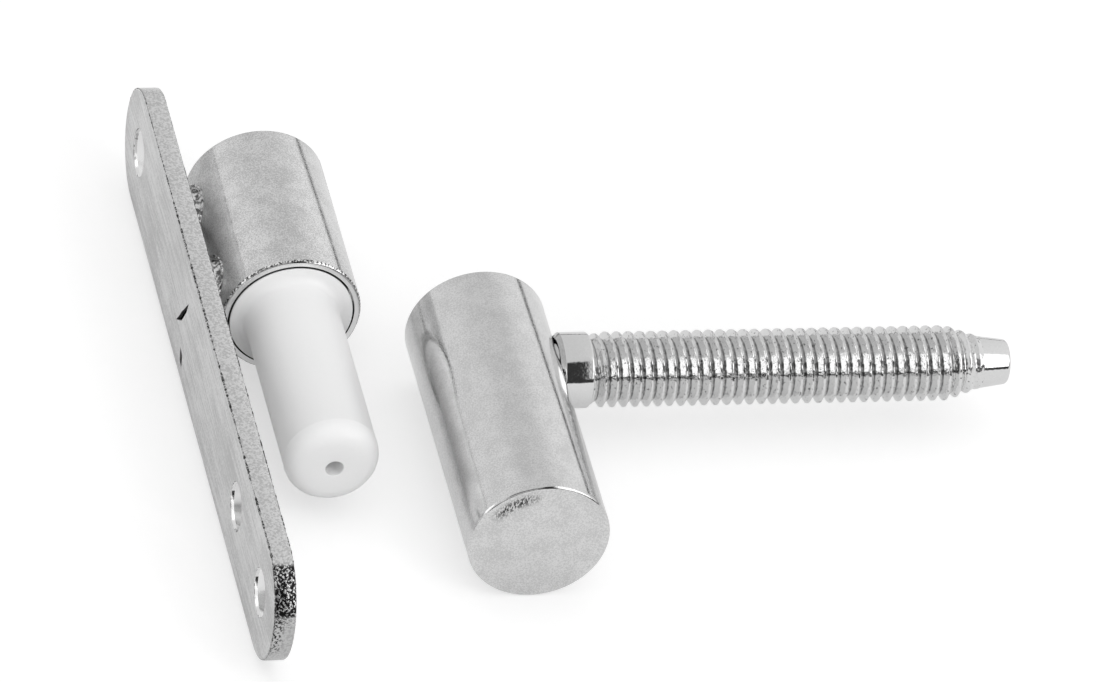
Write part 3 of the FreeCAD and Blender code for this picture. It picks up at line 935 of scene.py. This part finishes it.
# %% Stud
STUD_RADIUS = stud_high.z
STUD_END = stud_high.x - DOOR_AXIS_X
TENON_END = stud_low.x - DOOR_AXIS_X
FREE = 0.02 * MM
SHOULDER_END = 10.6 * MM
SHOULDER_RADIUS = SEAT_RADIUS - FREE
SHOULDER_BEVEL = 0.5 * MM
SHOULDER_ROUNDS = (0.06 * MM, 0.1 * MM, 0.25 * MM)
TIP_START = 49.6 * MM
TIP_RADII = (3.28 * MM, 2.36 * MM)
TIP_ROUNDS = (0.1 * MM, 0.4 * MM)
THREAD_START = SHOULDER_END - 0.8 * MM
THREAD_END = 53.6 * MM
PITCH = 1.25 * MM
RINGS_PER_PITCH = 20
tip_fall = (TIP_RADII[0] - TIP_RADII[1]) / (STUD_END - TIP_START)

thread = grown("thread_of_stud", thread_rule, THREAD_ZINC, {
    "Start": THREAD_START, "End": THREAD_END, "Axis": tuple(stud_place), "Crest": STUD_RADIUS,
    "Depth": 0.76 * MM, "Pitch": PITCH, "Run in": 2.6 * MM, "Taper start": 49.8 * MM,
    "Taper radius": TIP_RADII[0] - tip_fall * (THREAD_END - TIP_START) - FREE,
    "Rings": int((THREAD_END - THREAD_START) / PITCH * RINGS_PER_PITCH), "Steps": 121,
    "Unevenness": 0.1 * MM, "Root share": 0.04, "Crest share": 0.16,
})
shown("thread_of_stud", thread, THREAD_ZINC, "door_half", "stud_zinc", "threaded_stud")

shoulder = turned([
    (TENON_END, 0, 0),
    (TENON_END, TENON_RADIUS - FREE, 0),
    (SEAT_X + FREE, TENON_RADIUS - FREE, 0),
    (SEAT_X + FREE, SHOULDER_RADIUS - SHOULDER_BEVEL, SHOULDER_ROUNDS[0]),
    (SEAT_X + SHOULDER_BEVEL, SHOULDER_RADIUS, SHOULDER_ROUNDS[1]),
    (SHOULDER_END, SHOULDER_RADIUS, SHOULDER_ROUNDS[2]),
    (SHOULDER_END, 0, 0),
], ALONG_STUD, stud_place)
shown("shoulder_of_stud", shoulder, PLAIN_STUD_ZINC, "door_half", "stud_zinc")

tip = turned([
    (TIP_START, 0, 0),
    (TIP_START, TIP_RADII[0], TIP_ROUNDS[0]),
    (STUD_END, TIP_RADII[1], TIP_ROUNDS[1]),
    (STUD_END, 0, 0),
], ALONG_STUD, stud_place)
shown("tip_of_stud", tip, PLAIN_STUD_ZINC, "door_half", "stud_zinc")

# %% [markdown]
# ## Plate
# The plate is punched from strip, so its outline is a straight bar with two half rounds. It is drawn once,
# made a prism, and bevelled a little along both faces, because a punched edge is never quite sharp.

# %% Plate blank
ROUND_STEPS = 64
PLATE_EDGE = dict(offset=0.22 * MM, segments=3, profile=0.5)


def bar_outline():
    """The places along and up of a bar with full-round ends, in order round it."""
    outline = []
    ends = ((plate_high.y - PLATE_ROUND, -math.pi / 2), (plate_low.y + PLATE_ROUND, math.pi / 2))
    for centre, start in ends:
        for step in range(ROUND_STEPS + 1):
            angle = start + math.pi * step / ROUND_STEPS
            outline.append((centre + PLATE_ROUND * math.cos(angle), PLATE_ROUND * math.sin(angle)))
    return outline


def prism(outline, near, far):
    """A closed bmesh between two places across the plate, with an outline of places along and up."""
    shape = bmesh.new()
    back, front = [[shape.verts.new((x, along, up)) for along, up in outline] for x in (near, far)]
    shape.faces.new(back)
    shape.faces.new(front)
    for index in range(len(outline)):
        shape.faces.new((back[index - 1], back[index], front[index], front[index - 1]))
    bmesh.ops.recalc_face_normals(shape, faces=shape.faces)
    return shape


def plate_blank():
    shape = prism(bar_outline(), plate_low.x, plate_high.x)
    rims = [edge for edge in shape.edges if abs(edge.verts[0].co.x - edge.verts[1].co.x) < MERGE_REACH]
    bmesh.ops.bevel(shape, geom=rims, affect="EDGES", clamp_overlap=True, **PLATE_EDGE)
    return closed_mesh(shape)


blank = plate_blank()
print("plate blank has", len(blank.polygons), "faces")

# %% [markdown]
# The screw holes are sunk from the barrel's side. The weld press has left a shallow hollow, a nick and a
# slit in the back. Each is a cutter of its own. A hole's cutter is turned: a straight drill and a cone. The
# hollow is what a very flat ellipsoid leaves, and the nick and the slit are small slivers.

# %% Plate cutters
BEYOND = 1.0 * MM
SINK_START = plate_high.x - (SINK_RADIUS - HOLE_RADIUS)
BREAK_REACH = 0.1 * MM
BREAK_SLOPE = 0.25
BREAK_ROUND = 0.05 * MM
NICK_DEPTH = 1.3 * MM
NICK_MM = ((14.7, -2.5), (13.5, -0.4), (11.0, 2.7), (11.4, 1.2), (12.7, -1.0))
SLIT_MM = ((11.5, -3.6), (10.3, -3.8), (9.9, -5.2), (11.0, -5.0))


def screw_cutter(along):
    return turned([
        (plate_low.x - BEYOND, 0, 0),
        (plate_low.x - BEYOND, HOLE_RADIUS + BEYOND * BREAK_SLOPE, 0),
        (plate_low.x + BREAK_REACH, HOLE_RADIUS, BREAK_ROUND),
        (SINK_START, HOLE_RADIUS, 0),
        (plate_high.x + BEYOND, SINK_RADIUS + BEYOND, 0),
        (plate_high.x + BEYOND, 0, 0),
    ], ALONG_STUD, Vector((0, along, 0)))


def hollow_cutter(along, up, half_size):
    """A flat ellipsoid that leaves a shallow hollow in the plate's back."""
    shape = bmesh.new()
    bmesh.ops.create_uvsphere(shape, u_segments=96, v_segments=48, radius=1.0)
    bmesh.ops.scale(shape, verts=shape.verts, vec=half_size)
    bmesh.ops.translate(shape, verts=shape.verts, vec=(plate_low.x, along, up))
    return closed_mesh(shape)


def sliver_cutter(corners_mm):
    """A sliver with corners along and up that goes straight into the plate's back."""
    corners = [(along * MM, up * MM) for along, up in corners_mm]
    return closed_mesh(prism(corners, plate_low.x - BEYOND, plate_low.x + NICK_DEPTH))


cutters = [screw_cutter(along) for along in hole_places]
cutters.append(hollow_cutter(along=20.5 * MM, up=1.4 * MM, half_size=(0.22 * MM, 8.5 * MM, 4.9 * MM)))
cutters += [sliver_cutter(corners) for corners in (NICK_MM, SLIT_MM)]
plate = without(blank, *cutters)
shown("plate_of_frame_half", plate, PLATE_ZINC, "frame_half", "plate_zinc", "mounting_plate")

# %% [markdown]
# Shearing pulls a ragged burr along the plate's upper edges, which grows towards the lower end. It could be
# a bump, but it breaks the plate's outline, so it is real metal. A tree draws the outline as a curve, and a
# bead along it changes its thickness with a noise. Below, the bead is too thin to show.

# %% Burr rule
ALMOST_HALF = 0.499
QUARTER = 0.25
RAGGED = (34 * MM, 12 * MM, 0.35, 1.0)
RAGGED_RANGE = (0.4, 0.66)
BURR_STEPS = 8


def burr_rule(tree, size):
    bar = node(tree, "GeometryNodeCurvePrimitiveQuadrilateral", {
        "Width": size["Length"], "Height": size["Width"],
    })
    ends = node(tree, "GeometryNodeFilletCurve", {
        "Curve": bar.outputs[0], "Count": ROUND_STEPS, "Limit Radius": True,
        "Radius": product(tree, size["Width"], ALMOST_HALF),
    }, mode="POLY")
    even = node(tree, "GeometryNodeResampleCurve", {
        "Curve": ends.outputs[0], "Length": size["Spacing"],
    }, mode="LENGTH")
    here = position(tree)
    spot = xyz(tree, here)
    upright = point(tree, 0.0, spot["X"], spot["Y"])
    path = moved(tree, even.outputs[0], Position=vectors(tree, "ADD", upright, size["Middle"]))
    above = ramp(tree, spot["Z"], 0.0, product(tree, size["Width"], QUARTER))
    ragged = product(tree, above, ramp(tree, spot["Y"], *RAGGED))
    most = ramp(tree, ragged, 0.0, 1.0, size["Least"], size["Most"], "LINEAR")
    thick = ramp(tree, patches(tree, here, size["Patch"]), *RAGGED_RANGE, size["Least"], most)
    return bead_along(tree, path, BURR_STEPS, thick)


print("burr rule ready")

# %% Burrs
BURR_INSET = 0.08 * MM


def burr(name, across, least, most, patch):
    """A burr round the plate's outline, at a place across its thickness."""
    mesh = grown(name, burr_rule, BURR_METAL, {
        "Length": plate_high.y - plate_low.y - 2 * BURR_INSET, "Width": 2 * (PLATE_ROUND - BURR_INSET),
        "Middle": (across, (plate_low.y + plate_high.y) / 2, 0.0),
        "Spacing": 0.12 * MM, "Least": least, "Most": most, "Patch": patch,
    })
    shown(name, mesh, BURR_METAL, "frame_half", "plate_zinc")


burr("burr_at_back", plate_low.x + BURR_INSET, least=0.03 * MM, most=0.16 * MM, patch=0.4 * MM)
burr("burr_at_front", plate_high.x - BURR_INSET, least=0.02 * MM, most=0.1 * MM, patch=0.8 * MM)

# %% [markdown]
# ## Welds
# The barrel is joined to the plate by two lumps of weld metal. Each is a short rod with a waist, and a bead
# where it meets the barrel. They repeat along the barrel, but no two are alike: the tree sets the lump on a
# line of points, makes the copies real, and then pushes their surface about with one noise.

# %% Weld rule
ROD = {"Vertices": 128, "Side Segments": 32}
WAIST_END = 0.2
SEAM_STEPS = 160
SEAM_BEAD_STEPS = 10


def weld_rule(tree, size):
    half = xyz(tree, size["Half size"])
    here = position(tree)
    spot = xyz(tree, here)
    rod = node(tree, "GeometryNodeMeshCylinder", ROD, fill_type="TRIANGLE_FAN")
    flare = ramp(tree, reckon(tree, "ABSOLUTE", spot["Z"]), WAIST_END, 1.0, size["Waist"], 1.0)
    lying = point(tree, spot["Z"], product(tree, spot["Y"], flare), product(tree, spot["X"], flare))
    lump = moved(tree, rod.outputs[0], Position=vectors(tree, "MULTIPLY", lying, size["Half size"]))
    along = product(tree, spot["X"], half["Y"])
    up = product(tree, spot["Y"], half["Z"])
    squares = minus(tree, product(tree, size["Barrel"], size["Barrel"]), product(tree, up, up))
    skin = product(tree, reckon(tree, "SQRT", squares), -1.0)
    outside = minus(tree, skin, xyz(tree, size["First"])["X"])
    ring = node(tree, "GeometryNodeCurvePrimitiveCircle", {"Resolution": SEAM_STEPS})
    seam = moved(tree, ring.outputs[0], Position=point(tree, outside, along, up))
    weld = node(tree, "GeometryNodeJoinGeometry", {0: lump})
    fill(tree, weld, {0: bead_along(tree, seam, SEAM_BEAD_STEPS, size["Bead"])})
    line = node(tree, "GeometryNodeMeshLine", {
        "Count": size["Count"], "Start Location": size["First"], "Offset": size["Step"],
    })
    row = node(tree, "GeometryNodeInstanceOnPoints", {
        "Points": line.outputs[0], "Instance": weld.outputs[0],
    })
    real = node(tree, "GeometryNodeRealizeInstances", {"Geometry": row.outputs[0]})
    shift = node(tree, "ShaderNodeVectorMath", {
        0: node(tree, "GeometryNodeInputNormal").outputs[0],
        "Scale": swayed(tree, patches(tree, here, size["Patch"]), size["Roughness"]),
    }, operation="SCALE")
    return moved(tree, real.outputs[0], Offset=shift.outputs[0])


print("weld rule ready")

# %% Welds
WELD_HALF = Vector((1.5 * MM, 3.2 * MM, 2.9 * MM))
WELD_X = plate_high.x + WELD_HALF.x - 0.2 * MM
FIRST_WELD = 17.2 * MM
SECOND_WELD = 28.9 * MM

welds = grown("welds_of_frame_half", weld_rule, WELD_METAL, {
    "First": (WELD_X, FIRST_WELD, 0.0), "Step": (0.0, SECOND_WELD - FIRST_WELD, 0.0), "Count": 2,
    "Half size": tuple(WELD_HALF), "Waist": 0.84, "Barrel": BARREL_RADIUS, "Bead": 0.17 * MM,
    "Roughness": 0.22 * MM, "Patch": 0.45 * MM,
})
shown("welds_of_frame_half", welds, WELD_METAL, "frame_half", "weld_metal", "weld_nuggets")

# %% [markdown]
# ## Table
# The table is pale and keeps a soft shadow. For rays from the camera and from gloss it also glows a little,
# so the background comes out white without more light on the hinge.

# %% Table
TABLE_HALF = 3.0
FIBRES = dict(size=1.5 * MM)
PAPER_GREYS = (0.61, 0.63)
CAMERA_GLOW = 0.5
GLOSS_GLOW = 0.31
table_z = cad_low.z


def ray_kinds(tree):
    """1 for a ray from the camera, and 1 for a ray that gloss or glass sends on."""
    path = node(tree, "ShaderNodeLightPath").outputs
    sent_on = reckon(tree, "MAXIMUM", path["Is Glossy Ray"], path["Is Transmission Ray"])
    return path["Is Camera Ray"], sent_on


def table_paper(tree):
    from_camera, from_gloss = ray_kinds(tree)
    gloss_glow = product(tree, from_gloss, GLOSS_GLOW)
    return {
        "Metallic": 0.0,
        "Base Color": blend(tree, grain(tree, **FIBRES), *PAPER_GREYS),
        "Specular IOR Level": 0.0,
        "Roughness": 1.0,
        "Emission Strength": reckon(tree, "MULTIPLY_ADD", from_camera, CAMERA_GLOW, gloss_glow),
    }


table_mesh = bpy.data.meshes.new("table")
corners = [(-1, -1), (1, -1), (1, 1), (-1, 1)]
table_mesh.from_pydata([(x * TABLE_HALF, y * TABLE_HALF, table_z) for x, y in corners], [], [(0, 1, 2, 3)])
table_mesh.materials.append(finish("table_paper", table_paper))
table = placed("table", table_mesh)
print("table at", round(table_z / MM, 2), "mm")

# %% [markdown]
# ## Room
# Metal shows its surroundings, so the room matters more than the lamps. Gloss sees pale walls, brighter at
# the sides, with three dark shapes: a tall narrow screen in front, a grey flag beside it, and a dark band
# at table height. These draw the lines that make round metal look round. All the rest sees an even fill.
# The shapes are bands of direction: X is right, Y is away from the camera's side, and Z is up.

# %% Room
WHITE = (1, 1, 1, 1)
ROOM_FILL = 0.62
FRONT = (0.1, 0.25)
WALLS = (-0.1, -0.5, 0.72, 0.82)
LEFT_WINDOW = (-0.85, -0.95, 0.0, 0.8)
RIGHT_STARTS = (0.2, 0.38)
RIGHT_ENDS = (0.64, 0.44)
RIGHT_LIGHTS = (0.2, 1.2)
ROOM_DARK = 0.04
SCREEN = (0.09, 0.36)
SCREEN_TOP = (0.89, 0.85)
FLAG_ACROSS = (-0.6, 0.12)
FLAG_UP = (0.38, 0.76)
FLAG_SHARE = 0.75
BAND_TOPS = (0.06, 0.19)
BAND_LEFT = (-0.8, -0.7)
SOFT = 0.04


def dark_shapes(tree, facing, front):
    """1 in the directions of the screen and the dark band, and less in that of the flag."""
    top = ramp(tree, facing["Z"], *SCREEN_TOP)
    screen = product(tree, between(tree, facing["X"], *SCREEN, SOFT), top)
    across = between(tree, facing["X"], *FLAG_ACROSS, SOFT)
    flag = product(tree, across, between(tree, facing["Z"], *FLAG_UP, SOFT), FLAG_SHARE)
    hung = product(tree, front, reckon(tree, "MAXIMUM", screen, flag))
    band_top = ramp(tree, front, 0.0, 1.0, *BAND_TOPS)
    band = ramp(tree, facing["Z"], band_top, minus(tree, band_top, SOFT / 2))
    return reckon(tree, "MAXIMUM", hung, product(tree, band, ramp(tree, facing["X"], *BAND_LEFT)))


def studio_room():
    room = bpy.data.worlds.new("room")
    room.use_nodes = True
    tree = room.node_tree
    facing = xyz(tree, node(tree, "ShaderNodeTexCoord").outputs["Generated"])
    front = ramp(tree, product(tree, facing["Y"], -1.0), *FRONT)
    walls = ramp(tree, facing["X"], *WALLS)
    left = ramp(tree, facing["X"], *LEFT_WINDOW)
    start, end, light = [
        ramp(tree, front, 0.0, 1.0, *ends) for ends in (RIGHT_STARTS, RIGHT_ENDS, RIGHT_LIGHTS)
    ]
    right = product(tree, ramp(tree, facing["X"], start, end), light)
    bright = reckon(tree, "ADD", walls, reckon(tree, "ADD", left, right))
    shade = ramp(tree, dark_shapes(tree, facing, front), 0.0, 1.0, bright, ROOM_DARK, "LINEAR")
    from_camera, from_gloss = ray_kinds(tree)
    lit = node(tree, "ShaderNodeMix", {"Factor": from_gloss, "A": ROOM_FILL, "B": shade}).outputs[0]
    seen = node(tree, "ShaderNodeMix", {"Factor": from_camera, "A": lit, "B": 1.0}).outputs[0]
    fill(tree, tree.nodes["Background"], {"Color": WHITE, "Strength": seen})
    return room


scene.world = studio_room()
print("room has", len(scene.world.node_tree.nodes), "nodes")

# %% [markdown]
# ## Lamps
# Three soft lamps light the plastic and the table, and give the shadow. Gloss doesn't show them: it shows
# the room, so the lamps can be placed for the shadow alone. Places are in metres.

# %% Lamps


def softbox(name, place, aim, width, height, watts):
    """A soft rectangular lamp that points at a place."""
    lamp = bpy.data.lights.new(name, "AREA")
    lamp.shape = "RECTANGLE"
    lamp.size = width
    lamp.size_y = height
    lamp.energy = watts
    holder = placed(name, lamp)
    holder.location = place
    holder.rotation_euler = (Vector(aim) - Vector(place)).to_track_quat("-Z", "Y").to_euler()
    holder.visible_glossy = False


softbox("softbox_above", place=(0.03, 0.0, 0.9), aim=(0.025, 0, 0), width=1.3, height=1.1, watts=2.1)
softbox("softbox_right", place=(0.58, -0.76, 0.62), aim=(0.03, 0, 0.1), width=0.4, height=1.1, watts=2.2)
softbox("softbox_front", place=(-0.15, -1.0, 0.35), aim=(0.03, 0, 0), width=0.8, height=0.5, watts=1.8)

# %% [markdown]
# ## Camera
# A long lens from far away keeps the two halves' edges almost parallel. The camera stands in front of the
# pin's tip, well above the table, and is rolled a little, so both barrels slant across the picture.

# %% Camera
CAMERA_PLACE = Vector((-295.8, -961.7, 828.6)) * MM
CAMERA_AIM = Vector((26.84, 7.12, 0)) * MM
CAMERA_ROLL = math.radians(10.758)
LENS = 410.6

lens = bpy.data.cameras.new("camera")
lens.lens = LENS
camera = placed("camera", lens)
camera.location = CAMERA_PLACE
level = (CAMERA_AIM - CAMERA_PLACE).to_track_quat("-Z", "Y")
camera.rotation_euler = (level @ Quaternion((0, 0, 1), CAMERA_ROLL)).to_euler()
scene.camera = camera
scene.view_settings.view_transform = "Standard"
print("camera", round((CAMERA_AIM - CAMERA_PLACE).length / MM), "mm from the hinge")
